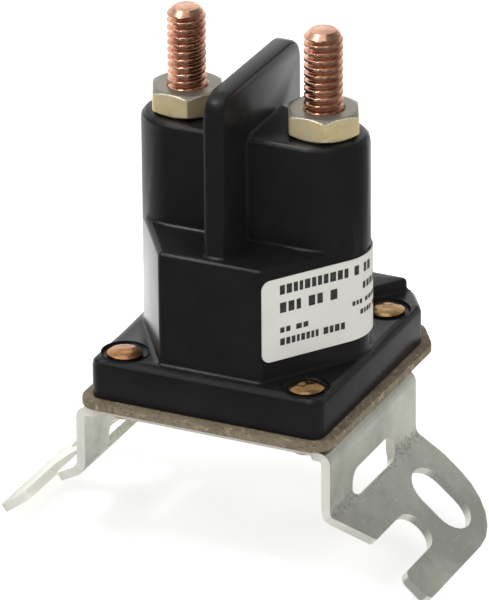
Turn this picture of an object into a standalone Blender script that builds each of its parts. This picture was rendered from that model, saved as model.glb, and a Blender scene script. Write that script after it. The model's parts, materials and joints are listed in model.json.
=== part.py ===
"""Starter relay: a moulded housing with two power studs, riveted to a folded sheet bracket.

Metres, +Z up. The ground is at Z = 0, where the bracket's splayed feet stand. The two studs
stand in a row along X, and the label's side faces -Y. Everything is laid out from the point where
the plunger's upright axis crosses the flange plane, the underside of the housing's flange. An
empty carries that point, at the height and depth that centre the whole over the ground's origin.
"""

import math

import bmesh
import bpy
from mathutils import Matrix, Vector

MM = 0.001

# Fits
SEAT_GAP = 0.2 * MM
RUNNING_GAP = 0.4 * MM
ARC_STEP = math.radians(18)

# Housing
FLANGE_BEYOND_RIVET = 4.425 * MM
FLANGE_HEIGHT = 6.7 * MM
FLANGE_CORNER = 2.0 * MM
FLANGE_ROUND = 1.3 * MM
TAIL_START = 0.5 * MM
TAIL_LENGTH = 5.4 * MM
TAIL_NARROWING = 3.6 * MM
PAD_HEIGHT = 2.0 * MM
PAD_DEPTH = 9.5 * MM
PAD_NARROWING = 6.3 * MM
PAD_SET_IN = 0.3 * MM
PAD_ROUND = 0.8 * MM
BODY_SET_IN = 2.6 * MM
FACE_SHORT_OF_RIVET = 6.975 * MM
BODY_CORNER = 0.9 * MM
LEDGE_HEIGHT = 26.2 * MM
LEDGE_ROUND = 1.2 * MM
TOWER_RADIUS = 7.5 * MM
TOWER_RISE = 17.6 * MM
TOWER_ROUND = 1.5 * MM
WALL = 2.4 * MM
LEDGE_WALL = 3.0 * MM
ROOF_WALL = 7.0 * MM
FIN_THICKNESS = 3.5 * MM
FIN_FRONT_SET_IN = 1.6 * MM
FIN_BACK_SET_IN = 3.7 * MM
FIN_ABOVE_TOWER = 9.7 * MM
FIN_CORNER = 4.0 * MM
FIN_ROUND = 0.7 * MM

# Power studs, 1/4-20, with 7/16 in jam nuts
STUD_SPACING = 23.8 * MM
STUD_DIAMETER = 6.35 * MM
STUD_ABOVE_NUT = 13.2 * MM
STUD_TIP_CHAMFER = 0.9 * MM
STUD_HEAD_DIAMETER = 9.0 * MM
STUD_HEAD_HEIGHT = 2.4 * MM
NUT_ACROSS_FLATS = 11.11 * MM
NUT_HEIGHT = 3.97 * MM
NUT_TURN = math.radians(-65)
NUT_CHAMFER = math.radians(28)

# Gasket
GASKET_PROUD = 1.7 * MM
GASKET_THICKNESS = 1.3 * MM
GASKET_CORNER = 3.6 * MM

# Rivets
RIVET_PITCH = 31.75 * MM
RIVET_SHANK_DIAMETER = 3.2 * MM
RIVET_HEAD_DIAMETER = 6.1 * MM
RIVET_HEAD_HEIGHT = 1.5 * MM
RIVET_CLINCH_DIAMETER = 5.0 * MM
RIVET_CLINCH_HEIGHT = 1.0 * MM
RIVET_RECESS_DIAMETER = 7.8 * MM
RIVET_RECESS_DEPTH = 0.5 * MM

# Bracket, folded from one sheet
SHEET = 1.5 * MM
LEG_BEYOND_RIVET = 6.425 * MM
LEG_HEIGHT = 10.9 * MM
LEG_BEND_RADIUS = 2.0 * MM
FOOT_BEND_RADIUS = 2.2 * MM
LEG_FRONT = 21.0 * MM
LEG_BACK = 13.0 * MM
PLATE_BEYOND_RIVET = 3.725 * MM
PLATE_SHORT_OF_TAIL = 1.2 * MM
PLATE_EAR_RADIUS = 1.0 * MM
PLATE_CORNER = 2.0 * MM
FOOT_ANGLE = math.radians(40)
LEFT_FOOT_ANGLE = math.radians(37)
FOOT_LENGTH = 20.5 * MM
FOOT_BACK = 14.2 * MM
FOOT_FLARE = 6.0 * MM
FOOT_CORNER = 11.0 * MM
WINDOW_LENGTH = 16.4 * MM
WINDOW_ABOVE_BEND = 4.3 * MM
WINDOW_BELOW_BEND = 1.0 * MM
WINDOW_CORNER = 2.2 * MM
SLOT_WIDTH = 8.5 * MM
SLOT_FROM_TIP = 3.75 * MM
SLOT_FROM_BEND = 4.35 * MM
SLOT_MIDDLE = 4.8 * MM
NOTCH_WIDTH = 6.9 * MM
NOTCH_FROM_BEND = 7.8 * MM
NOTCH_END = -3.7 * MM
NOTCH_LIP = -16.2 * MM
HOOK_TIP = -17.4 * MM
HOOK_CORNER = 1.6 * MM
LIP_CORNER = 0.7 * MM

# Label
LABEL_LENGTH = 36.0 * MM
LABEL_BELOW_LEDGE = 1.9 * MM
LABEL_BOTTOM = 10.2 * MM
LABEL_THICKNESS = 0.2 * MM
LABEL_GAP = 0.1 * MM
LABEL_CORNER = 1.4 * MM
LABEL_FROM_EDGE = 0.1 * MM

# Blade terminals on the pad behind the body, 1/4 in
BLADE_WIDTH = 6.35 * MM
BLADE_THICKNESS = 0.8 * MM
BLADE_ABOVE_PAD = 8.3 * MM
BLADE_OFFSET = 5.8 * MM
BLADE_BEHIND_BODY = 3.3 * MM
ROOT_THICKNESS = 1.2 * MM
ROOT_ABOVE_PAD = 0.4 * MM
BLADE_TIP = 1.4 * MM
BLADE_HOLE_DIAMETER = 1.8 * MM

# Magnet: frame cup, bobbin, winding and fixed pole
FRAME_CLEARANCE = 0.7 * MM
FRAME_WALL = 1.3 * MM
FRAME_BELOW_CEILING = 2.6 * MM
BOBBIN_BORE = 10.8 * MM
BOBBIN_WALL = 0.9 * MM
BOBBIN_FLANGE = 1.2 * MM
WINDING_SHORT_OF_FLANGE = 0.8 * MM
POLE_NECK_DIAMETER = 7.4 * MM
POLE_HEAD_HEIGHT = 0.9 * MM

# Plunger group, which slides up the Z axis
PLUNGER_HEIGHT = 11.2 * MM
PLUNGER_TRAVEL = 2.4 * MM
SPRING_POCKET_DEPTH = 6.0 * MM
STEM_DIAMETER = 3.2 * MM
STEM_COLLAR_DIAMETER = 7.0 * MM
STEM_COLLAR_HEIGHT = 0.8 * MM
STEM_DEPTH = 3.2 * MM
CONTACT_WIDTH = 8.4 * MM
CONTACT_THICKNESS = 1.6 * MM
CONTACT_REACH = 3.4 * MM
INSULATOR_DIAMETER = 7.2 * MM
INSULATOR_THICKNESS = 1.0 * MM
CLIP_DIAMETER = 5.6 * MM
CLIP_THICKNESS = 0.7 * MM
CLIP_BELOW_TIP = 0.4 * MM
RETURN_WIRE = 0.6 * MM
RETURN_DIAMETER = 6.2 * MM
RETURN_TURNS = 6
CONTACT_WIRE = 0.6 * MM
CONTACT_SPRING_DIAMETER = 5.6 * MM
CONTACT_SPRING_TURNS = 3

# Places that follow from the sizes
HALF_PITCH = STUD_SPACING / 2
FLANGE_HALF = RIVET_PITCH / 2 + FLANGE_BEYOND_RIVET
TAIL_FRONT = FLANGE_HALF - TAIL_START
TAIL_BACK = TAIL_FRONT + TAIL_LENGTH
TAIL_HALF_WIDTH = FLANGE_HALF - TAIL_NARROWING
PAD_TOP = FLANGE_HEIGHT + PAD_HEIGHT
BODY_HALF_DEPTH = FLANGE_HALF - BODY_SET_IN
BODY_FACE_HALF_WIDTH = RIVET_PITCH / 2 - FACE_SHORT_OF_RIVET
TOWER_HEIGHT = LEDGE_HEIGHT + TOWER_RISE
FIN_FRONT = BODY_HALF_DEPTH - FIN_FRONT_SET_IN
FIN_BACK = BODY_HALF_DEPTH - FIN_BACK_SET_IN
FIN_HEIGHT = TOWER_HEIGHT + FIN_ABOVE_TOWER
LABEL_HEIGHT = LEDGE_HEIGHT - LABEL_BELOW_LEDGE - LABEL_BOTTOM
BLADE_BACK = BODY_HALF_DEPTH + BLADE_BEHIND_BODY
LEG_HALF_SPAN = RIVET_PITCH / 2 + LEG_BEYOND_RIVET
PLATE_FRONT = RIVET_PITCH / 2 + PLATE_BEYOND_RIVET
PLATE_BACK = TAIL_BACK - PLATE_SHORT_OF_TAIL
SLOT_LENGTH = FOOT_LENGTH - SLOT_FROM_BEND - SLOT_FROM_TIP
FOOT_DROP = FOOT_LENGTH * math.sin(FOOT_ANGLE) + SHEET * math.cos(FOOT_ANGLE)
PLATE_TOP = -(GASKET_THICKNESS + 2 * SEAT_GAP)
PLATE_BOTTOM = PLATE_TOP - SHEET
BEND_Z = PLATE_TOP - LEG_HEIGHT
FLANGE_PLANE = FOOT_DROP - BEND_Z
LEG_MIDDLE = (LEG_BACK - LEG_FRONT) / 2
DEPTH_MIDDLE = (TAIL_BACK - FLANGE_HALF) / 2
CAVITY_TOP = LEDGE_HEIGHT - LEDGE_WALL
ROOF = TOWER_HEIGHT - ROOF_WALL
HEAD_BOTTOM = ROOF - SEAT_GAP - STUD_HEAD_HEIGHT
CHAMFER_RUN = math.hypot(HALF_PITCH - BODY_FACE_HALF_WIDTH, BODY_HALF_DEPTH)
CHAMFER_LEAN = (math.atan2(BODY_HALF_DEPTH, HALF_PITCH - BODY_FACE_HALF_WIDTH)
                - math.asin(TOWER_RADIUS / CHAMFER_RUN))
BODY_CLEAR_RADIUS = min(BODY_HALF_DEPTH, TOWER_RADIUS + HALF_PITCH * math.sin(CHAMFER_LEAN))
FRAME_DIAMETER = 2 * (BODY_CLEAR_RADIUS - WALL - FRAME_CLEARANCE)
FRAME_TOP = CAVITY_TOP - FRAME_BELOW_CEILING
FRAME_BOTTOM = PLATE_TOP + SEAT_GAP
BOBBIN_BOTTOM = FRAME_BOTTOM
BOBBIN_TOP = FRAME_TOP - FRAME_WALL - SEAT_GAP
PLUNGER_DIAMETER = BOBBIN_BORE - 2 * RUNNING_GAP
STEM_BORE = STEM_DIAMETER + 2 * RUNNING_GAP
PLUNGER_BOTTOM = FRAME_BOTTOM
PLUNGER_TOP = PLUNGER_BOTTOM + PLUNGER_HEIGHT
POLE_BOTTOM = PLUNGER_TOP + PLUNGER_TRAVEL + SEAT_GAP
POCKET_FLOOR = PLUNGER_TOP - SPRING_POCKET_DEPTH
CONTACT_TOP = HEAD_BOTTOM - SEAT_GAP - PLUNGER_TRAVEL
CONTACT_BOTTOM = CONTACT_TOP - CONTACT_THICKNESS
COLLAR_BOTTOM = FRAME_TOP + POLE_HEAD_HEIGHT + 2 * SEAT_GAP
COLLAR_TOP = COLLAR_BOTTOM + STEM_COLLAR_HEIGHT
UPPER_INSULATOR = CONTACT_TOP + SEAT_GAP
LOWER_INSULATOR = CONTACT_BOTTOM - SEAT_GAP - INSULATOR_THICKNESS
CLIP_BOTTOM = UPPER_INSULATOR + INSULATOR_THICKNESS + SEAT_GAP
STEM_TOP = CLIP_BOTTOM + CLIP_THICKNESS + CLIP_BELOW_TIP

COLLECTION = "starter_relay"
WORKSHOP = "cutters"


def clear_scene():
    """Remove every object, and make the collections for the parts and for the cutters."""
    for leftover in list(bpy.data.objects):
        bpy.data.objects.remove(leftover, do_unlink=True)
    for name in (COLLECTION, WORKSHOP):
        group = bpy.data.collections.new(name)
        bpy.context.scene.collection.children.link(group)


def material(name, colour, roughness, metallic=0.0):
    """A Principled BSDF of one colour."""
    made = bpy.data.materials.new(name)
    made.use_nodes = True
    shader = made.node_tree.nodes["Principled BSDF"]
    shader.inputs["Base Color"].default_value = (*colour, 1.0)
    shader.inputs["Roughness"].default_value = roughness
    shader.inputs["Metallic"].default_value = metallic
    made.diffuse_color = (*colour, 1.0)
    return made


def workpiece(name, mesh):
    """A loose solid, kept with the cutters until it is finished or used up."""
    solid = bpy.data.objects.new(name, mesh)
    solid.hide_render = True
    solid.display_type = "WIRE"
    bpy.data.collections[WORKSHOP].objects.link(solid)
    return solid


def bake(solid):
    """Replace the mesh with the one that the modifiers make."""
    depsgraph = bpy.context.evaluated_depsgraph_get()
    mesh = bpy.data.meshes.new_from_object(solid.evaluated_get(depsgraph))
    solid.modifiers.clear()
    solid.data = mesh
    return solid


def combine(solid, tool, operation):
    """Boolean the tool into the solid and use the tool up."""
    boolean = solid.modifiers.new(operation.lower(), "BOOLEAN")
    boolean.operation = operation
    boolean.solver = "EXACT"
    boolean.object = tool
    bake(solid)
    bpy.data.objects.remove(tool, do_unlink=True)
    return solid


def cut(solid, tool):
    return combine(solid, tool, "DIFFERENCE")


def join(solid, tool):
    return combine(solid, tool, "UNION")


def finish(solid, made_of, parent, smooth_angle=math.radians(38)):
    """Shade the solid, give it its material, and hang it on its empty in the parts' collection."""
    solid.data.shade_smooth()
    solid.data.set_sharp_from_angle(angle=smooth_angle)
    solid.data.materials.clear()
    solid.data.materials.append(made_of)
    solid.hide_render = False
    solid.display_type = "TEXTURED"
    bpy.data.collections[WORKSHOP].objects.unlink(solid)
    bpy.data.collections[COLLECTION].objects.link(solid)
    solid.parent = parent
    return solid


def rounded(corners):
    """Closed outline in which each (x, y, radius) corner is a tangent arc."""
    outline = []
    for index, (x, y, radius) in enumerate(corners):
        here = Vector((x, y))
        if radius <= 0.0:
            outline.append((x, y))
            continue
        before = (Vector(corners[index - 1][:2]) - here).normalized()
        after = (Vector(corners[(index + 1) % len(corners)][:2]) - here).normalized()
        half = before.angle(after) / 2
        centre = here + (before + after).normalized() * radius / math.sin(half)
        start = here + before * radius / math.tan(half) - centre
        end = here + after * radius / math.tan(half) - centre
        sweep = start.angle(end)
        if start.cross(end) < 0.0:
            sweep = -sweep
        steps = max(2, math.ceil(abs(sweep) / ARC_STEP))
        first = math.atan2(start.y, start.x)
        for step in range(steps + 1):
            angle = first + sweep * step / steps
            outline.append((centre.x + radius * math.cos(angle), centre.y + radius * math.sin(angle)))
    return outline


def rectangle(x0, x1, y0, y1, radius=0.0):
    return rounded([(x0, y0, radius), (x1, y0, radius), (x1, y1, radius), (x0, y1, radius)])


def circle(x, y, radius, steps=20):
    angles = [2 * math.pi * step / steps for step in range(steps)]
    return [(x + radius * math.cos(angle), y + radius * math.sin(angle)) for angle in angles]


def arc(x, y, radius, first, last):
    steps = max(2, math.ceil(abs(last - first) / ARC_STEP))
    angles = [first + (last - first) * step / steps for step in range(steps + 1)]
    return [(x + radius * math.cos(angle), y + radius * math.sin(angle)) for angle in angles]


def prism(name, outlines, bottom, top):
    """Solid between two heights from a filled 2D curve; later outlines are holes in the first."""
    curve = bpy.data.curves.new(name, "CURVE")
    curve.dimensions = "2D"
    curve.fill_mode = "BOTH"
    curve.extrude = (top - bottom) / 2
    for outline in outlines:
        spline = curve.splines.new("POLY")
        spline.points.add(len(outline) - 1)
        for point, (x, y) in zip(spline.points, outline):
            point.co = (x, y, 0.0, 1.0)
        spline.use_cyclic_u = True
    flat = workpiece(name + "_outline", curve)
    flat.location.z = (top + bottom) / 2
    depsgraph = bpy.context.evaluated_depsgraph_get()
    mesh = bpy.data.meshes.new_from_object(flat.evaluated_get(depsgraph))
    mesh.transform(Matrix.Translation((0.0, 0.0, (top + bottom) / 2)))
    bpy.data.objects.remove(flat, do_unlink=True)
    weld(mesh)
    return workpiece(name, mesh)


def weld(mesh):
    """Merge a curve's loose caps and make the faces point outwards."""
    shape = bmesh.new()
    shape.from_mesh(mesh)
    bmesh.ops.remove_doubles(shape, verts=shape.verts, dist=0.001 * MM)
    bmesh.ops.recalc_face_normals(shape, faces=shape.faces)
    shape.to_mesh(mesh)
    shape.free()


def soften_top(solid, radius, segments=3):
    """Round the edge of the solid's top face."""
    shape = bmesh.new()
    shape.from_mesh(solid.data)
    bmesh.ops.dissolve_limit(shape, angle_limit=0.001, verts=shape.verts, edges=shape.edges)
    top = max(vertex.co.z for vertex in shape.verts)
    weight = shape.edges.layers.float.new("bevel_weight_edge")
    for edge in shape.edges:
        if all(abs(vertex.co.z - top) < 0.001 * MM for vertex in edge.verts):
            edge[weight] = 1.0
    shape.to_mesh(solid.data)
    shape.free()
    bevel = solid.modifiers.new("soft_top", "BEVEL")
    bevel.limit_method = "WEIGHT"
    bevel.width = radius
    bevel.segments = segments
    return bake(solid)


def turned(name, profile, closed=False, steps=28):
    """Solid of revolution about Z from (radius, z) points that run down the outer side.

    An open profile starts and ends on the axis; a closed one is the section of a ring.
    """
    mesh = bpy.data.meshes.new(name)
    edges = [(index, index + 1) for index in range(len(profile) - 1)]
    if closed:
        edges.append((len(profile) - 1, 0))
    mesh.from_pydata([(radius, 0.0, z) for radius, z in profile], edges, [])
    solid = workpiece(name, mesh)
    screw = solid.modifiers.new("turn", "SCREW")
    screw.steps = steps
    screw.render_steps = steps
    screw.use_merge_vertices = True
    screw.merge_threshold = 0.001 * MM
    return bake(solid)


def washer(name, outer, bore, bottom, top, steps=24):
    """Flat ring given by its two diameters."""
    profile = [(bore / 2, top), (outer / 2, top), (outer / 2, bottom), (bore / 2, bottom)]
    return turned(name, profile, closed=True, steps=steps)


def rod(name, diameter, bottom, top, steps=24):
    """Plain round rod."""
    return turned(name, [(0.0, top), (diameter / 2, top), (diameter / 2, bottom), (0.0, bottom)], steps=steps)


def helix(name, diameter, wire, turns, bottom, top):
    """Compression spring: a round wire on a helix between two heights."""
    radius = (diameter - wire) / 2
    points_per_turn = 14
    count = turns * points_per_turn
    low = bottom + wire / 2
    rise = (top - bottom - wire) / count
    curve = bpy.data.curves.new(name, "CURVE")
    curve.dimensions = "3D"
    curve.bevel_depth = wire / 2
    curve.bevel_resolution = 1
    curve.use_fill_caps = True
    spline = curve.splines.new("POLY")
    spline.points.add(count)
    for index, point in enumerate(spline.points):
        angle = 2 * math.pi * index / points_per_turn
        point.co = (radius * math.cos(angle), radius * math.sin(angle), low + rise * index, 1.0)
    wound = workpiece(name + "_wire", curve)
    depsgraph = bpy.context.evaluated_depsgraph_get()
    mesh = bpy.data.meshes.new_from_object(wound.evaluated_get(depsgraph))
    bpy.data.objects.remove(wound, do_unlink=True)
    weld(mesh)
    return workpiece(name, mesh)


class Path:
    """A line in a plane made of straights and arcs, followed by its developed length."""

    def __init__(self, start, heading, moves):
        self.legs = []
        self.stations = []
        point = Vector(start)
        begun = 0.0
        for length, turn in moves:
            self.legs.append((begun, length, turn, point.copy(), heading))
            steps = max(1, math.ceil(abs(turn) / ARC_STEP)) if turn else 1
            self.stations += [begun + length * step / steps for step in range(steps)]
            point, heading = self.advance(point, heading, length, turn, length)
            begun += length
        self.stations.append(begun)

    @staticmethod
    def advance(point, heading, length, turn, distance):
        """Point and heading after part of one straight or arc."""
        if not turn:
            return point + distance * Vector((math.cos(heading), math.sin(heading))), heading
        radius = length / turn
        now = heading + turn * distance / length
        shift = Vector((math.sin(now) - math.sin(heading), math.cos(heading) - math.cos(now)))
        return point + radius * shift, now

    def at(self, distance):
        """Point and left-hand normal at a developed distance from the start."""
        for leg in reversed(self.legs):
            if distance >= leg[0] - 1e-9 or leg is self.legs[0]:
                begun, length, turn, point, heading = leg
                break
        point, heading = self.advance(point, heading, length, turn, distance - begun)
        return point, Vector((-math.sin(heading), math.cos(heading)))


def slice_across(solid, stations):
    """Add a line of vertices across the flat sheet at each developed distance."""
    shape = bmesh.new()
    shape.from_mesh(solid.data)
    for station in stations:
        everything = shape.verts[:] + shape.edges[:] + shape.faces[:]
        bmesh.ops.bisect_plane(shape, geom=everything, dist=0.0005 * MM,
                               plane_co=(station, 0.0, 0.0), plane_no=(1.0, 0.0, 0.0))
    bmesh.ops.remove_doubles(shape, verts=shape.verts, dist=0.001 * MM)
    bmesh.ops.triangulate(shape, faces=shape.faces)
    shape.to_mesh(solid.data)
    shape.free()


def body_outline(inset=0.0):
    """Plan of the lower body: flat faces front and back, four chamfers tangent to two round ends.

    The chamfer leaves the face's corner at the angle that makes it tangent to the end's circle.
    """
    normal = Vector((math.sin(CHAMFER_LEAN), -math.cos(CHAMFER_LEAN)))
    shift = (Vector((0.0, -1.0)) + normal) / (1.0 - normal.y)
    x = BODY_FACE_HALF_WIDTH - inset * shift.x
    y = BODY_HALF_DEPTH + inset * shift.y
    radius = TOWER_RADIUS - inset
    reach = math.pi / 2 - CHAMFER_LEAN
    corner = max(BODY_CORNER - inset, 0.0)
    right = [(px, py, 0.0) for px, py in arc(HALF_PITCH, 0.0, radius, -reach, reach)]
    left = [(px, py, 0.0) for px, py in arc(-HALF_PITCH, 0.0, radius, math.pi - reach, math.pi + reach)]
    return rounded([(-x, -y, corner), (x, -y, corner)] + right + [(x, y, corner), (-x, y, corner)] + left)


def stadium(half_length, radius):
    """Plan of two round ends, each a half circle, joined by straight sides."""
    right = arc(half_length, 0.0, radius, -math.pi / 2, math.pi / 2)
    left = arc(-half_length, 0.0, radius, math.pi / 2, 3 * math.pi / 2)
    return right + left


def barrier_fin():
    """Upright fin between the studs, drawn in the YZ plane and stood up."""
    base = LEDGE_HEIGHT - WALL
    outline = rounded([
        (-FIN_FRONT, base, 0.0), (FIN_BACK, base, 0.0),
        (FIN_BACK, FIN_HEIGHT, FIN_CORNER), (-FIN_FRONT, FIN_HEIGHT, FIN_CORNER)])
    fin = prism("fin", [outline], -FIN_THICKNESS / 2, FIN_THICKNESS / 2)
    shape = bmesh.new()
    shape.from_mesh(fin.data)
    bmesh.ops.dissolve_limit(shape, angle_limit=0.001, verts=shape.verts, edges=shape.edges)
    weight = shape.edges.layers.float.new("bevel_weight_edge")
    for edge in shape.edges:
        flat = abs(edge.verts[0].co.z - edge.verts[1].co.z) < 0.001 * MM
        above = any(vertex.co.y > base + 0.001 * MM for vertex in edge.verts)
        edge[weight] = 1.0 if flat and above else 0.0
    shape.to_mesh(fin.data)
    shape.free()
    bevel = fin.modifiers.new("soft_sides", "BEVEL")
    bevel.limit_method = "WEIGHT"
    bevel.width = FIN_ROUND
    bevel.segments = 2
    bake(fin)
    fin.data.transform(Matrix(((0, 0, 1, 0), (1, 0, 0, 0), (0, 1, 0, 0), (0, 0, 0, 1))))
    return fin


def rivet_places():
    """Name and (x, y) of each rivet."""
    half = RIVET_PITCH / 2
    sides = (("left", -half), ("right", half))
    return [(f"{depth}_{side}", x, y) for depth, y in (("front", -half), ("back", half)) for side, x in sides]


def flange_outline(corner, proud=0.0):
    """Plan of the flange: square in front, with a tail behind that tapers from both sides."""
    taper = math.atan2(TAIL_NARROWING, TAIL_LENGTH)
    side = FLANGE_HALF + proud
    right = [
        (side, -side, corner),
        (side, TAIL_FRONT + proud * math.tan(taper / 2), corner),
        (TAIL_HALF_WIDTH + proud * math.tan(math.pi / 4 - taper / 2), TAIL_BACK + proud, corner)]
    return rounded(right + [(-x, y, radius) for x, y, radius in reversed(right)])


def terminal_pad():
    """Low pad on the tail, from which the blades rise; its sides spread towards the back."""
    back = TAIL_BACK - PAD_SET_IN
    front = back - PAD_DEPTH
    wide = TAIL_HALF_WIDTH - PAD_SET_IN
    narrow = wide - PAD_NARROWING
    outline = rounded([
        (-narrow, front, 0.0), (narrow, front, 0.0), (wide, back, PAD_ROUND), (-wide, back, PAD_ROUND)])
    return soften_top(prism("pad", [outline], FLANGE_HEIGHT / 2, PAD_TOP), PAD_ROUND)


def blade_channel(side):
    """Cutters for a blade's upright slot in the pad, and for the groove of its tab under the flange."""
    half = BLADE_WIDTH / 2 + SEAT_GAP
    middle = side * BLADE_OFFSET
    front = BLADE_BACK + (BLADE_THICKNESS - ROOT_THICKNESS) / 2 - SEAT_GAP
    back = front + ROOT_THICKNESS + 2 * SEAT_GAP
    slot = rectangle(middle - half, middle + half, front, back)
    groove = rectangle(middle - half, middle + half, BODY_HALF_DEPTH - 2 * WALL, (front + back) / 2)
    return [prism("blade_slot", [slot], -WALL, PAD_TOP + WALL),
            prism("tab_groove", [groove], -WALL, ROOT_THICKNESS + SEAT_GAP)]


def housing():
    """Moulded case: flange, body, tower and fin outside, one stepped cavity open at the bottom."""
    case = soften_top(prism("housing", [flange_outline(FLANGE_CORNER)], 0.0, FLANGE_HEIGHT), FLANGE_ROUND)
    join(case, terminal_pad())
    body = prism("body", [body_outline()], FLANGE_HEIGHT / 2, LEDGE_HEIGHT)
    join(case, soften_top(body, LEDGE_ROUND))
    tower = prism("tower", [stadium(HALF_PITCH, TOWER_RADIUS)], CAVITY_TOP, TOWER_HEIGHT)
    join(case, soften_top(tower, TOWER_ROUND))
    join(case, barrier_fin())
    cut(case, prism("coil_cavity", [body_outline(WALL)], -WALL, CAVITY_TOP))
    chamber = stadium(HALF_PITCH, TOWER_RADIUS - WALL)
    cut(case, prism("contact_chamber", [chamber], CAVITY_TOP - WALL, ROOF))
    for side in (-1, 1):
        bore = circle(side * HALF_PITCH, 0.0, STUD_DIAMETER / 2 + SEAT_GAP, 24)
        cut(case, prism("stud_bore", [bore], ROOF - WALL, TOWER_HEIGHT + WALL))
        for cutter in blade_channel(side):
            cut(case, cutter)
    for name, x, y in rivet_places():
        hole = circle(x, y, RIVET_SHANK_DIAMETER / 2 + SEAT_GAP)
        cut(case, prism("rivet_hole", [hole], -WALL, FLANGE_HEIGHT + WALL))
        recess = circle(x, y, RIVET_RECESS_DIAMETER / 2, 28)
        cut(case, prism("rivet_recess", [recess], FLANGE_HEIGHT - RIVET_RECESS_DEPTH, FLANGE_HEIGHT + WALL))
    return case


def gasket():
    """Fibre gasket, proud of the flange all round."""
    edge = flange_outline(GASKET_CORNER, GASKET_PROUD)
    holes = [circle(x, y, RIVET_SHANK_DIAMETER / 2 + SEAT_GAP) for name, x, y in rivet_places()]
    return prism("gasket", [edge, body_outline(WALL - SEAT_GAP)] + holes,
                 PLATE_TOP + SEAT_GAP, PLATE_TOP + SEAT_GAP + GASKET_THICKNESS)


def bracket_side(foot_angle):
    """Path of the sheet's middle from the plate's centre out to a foot, in the XZ plane.

    The leg's outer face stands at the half span and the upper faces of leg and foot would meet
    at the bend height, so the middle line's own corner lies half a sheet inside both.
    """
    fold = math.pi / 2 - foot_angle
    top_radius = LEG_BEND_RADIUS - SHEET / 2
    foot_radius = FOOT_BEND_RADIUS + SHEET / 2
    setback = foot_radius * math.tan(fold / 2)
    lag = SHEET / 2 * math.tan(fold / 2)
    middle = PLATE_TOP - SHEET / 2
    straight = middle - top_radius - (BEND_Z - lag) - setback
    moves = [
        (LEG_HALF_SPAN - SHEET / 2 - top_radius, 0.0),
        (top_radius * math.pi / 2, -math.pi / 2),
        (straight, 0.0),
        (foot_radius * fold, fold),
        (FOOT_LENGTH + lag - setback, 0.0)]
    path = Path((0.0, middle), 0.0, moves)
    bend = sum(length for length, turn in moves[:3]) + moves[3][0] / 2
    foot_start = sum(length for length, turn in moves[:4])
    return path, bend, foot_start - setback + lag


def mirrored(outline):
    """The outline mirrored in x, still drawn the same way round."""
    return [(-corner[0], *corner[1:]) for corner in reversed(outline)]


def foot_edge(foot):
    """Edge of a foot's blank, from the front of its bend round the notch and the tip to the back."""
    tip = foot + FOOT_LENGTH
    notch = foot + NOTCH_FROM_BEND
    notch_round = NOTCH_WIDTH / 2 * 0.99
    return [
        (foot, -LEG_FRONT, 0.0),
        (notch, NOTCH_LIP, LIP_CORNER),
        (notch, NOTCH_END, notch_round),
        (notch + NOTCH_WIDTH, NOTCH_END, notch_round),
        (notch + NOTCH_WIDTH, HOOK_TIP, HOOK_CORNER),
        (tip, HOOK_TIP, HOOK_CORNER),
        (tip, FOOT_BACK, FOOT_CORNER),
        (foot + FOOT_FLARE, FOOT_BACK, LIP_CORNER),
        (foot, LEG_BACK, 0.0)]


def foot_openings(bend, foot):
    """Window across the leg's lower bend, and the foot's closed slot."""
    window = rectangle(bend - WINDOW_ABOVE_BEND, bend + WINDOW_BELOW_BEND, LEG_MIDDLE - WINDOW_LENGTH / 2,
                       LEG_MIDDLE + WINDOW_LENGTH / 2, WINDOW_CORNER)
    start = foot + SLOT_FROM_BEND
    slot = rectangle(start, start + SLOT_LENGTH, SLOT_MIDDLE - SLOT_WIDTH / 2,
                     SLOT_MIDDLE + SLOT_WIDTH / 2, SLOT_WIDTH / 2 * 0.99)
    return [window, slot]


def bracket():
    """Sheet cut flat, with its slots, notches and windows, then folded along a path on each side.

    The two feet are cut to one mirrored pattern and bent to slightly different angles.
    """
    path, bend, foot = bracket_side(FOOT_ANGLE)
    left_path, left_bend, left_foot = bracket_side(LEFT_FOOT_ANGLE)
    fold_start = LEG_HALF_SPAN - LEG_BEND_RADIUS
    neck = fold_start - PLATE_CORNER
    shoulder = neck + PLATE_EAR_RADIUS
    relief = fold_start - SHEET
    ear = PLATE_EAR_RADIUS / 2
    outline = foot_edge(foot)
    outline += [
        (relief, LEG_BACK, SHEET / 2), (relief, PLATE_BACK, PLATE_CORNER),
        (-relief, PLATE_BACK, PLATE_CORNER), (-relief, LEG_BACK, SHEET / 2)]
    outline += mirrored(foot_edge(left_foot))
    outline += [
        (-shoulder, -LEG_FRONT, ear), (-neck, -PLATE_FRONT, ear),
        (neck, -PLATE_FRONT, ear), (shoulder, -LEG_FRONT, ear)]
    holes = [circle(x, y, RIVET_SHANK_DIAMETER / 2 + SEAT_GAP) for name, x, y in rivet_places()]
    holes += foot_openings(bend, foot)
    holes += [mirrored(opening) for opening in foot_openings(left_bend, left_foot)]
    sheet = prism("bracket", [rounded(outline)] + holes, -SHEET / 2, SHEET / 2)
    slice_across(sheet, path.stations + [-station for station in left_path.stations])
    for vertex in sheet.data.vertices:
        side = 1.0 if vertex.co.x >= 0.0 else -1.0
        point, normal = (path if side > 0.0 else left_path).at(abs(vertex.co.x))
        placed = point + normal * vertex.co.z
        vertex.co = (side * placed.x, vertex.co.y, placed.y)
    return sheet


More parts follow.
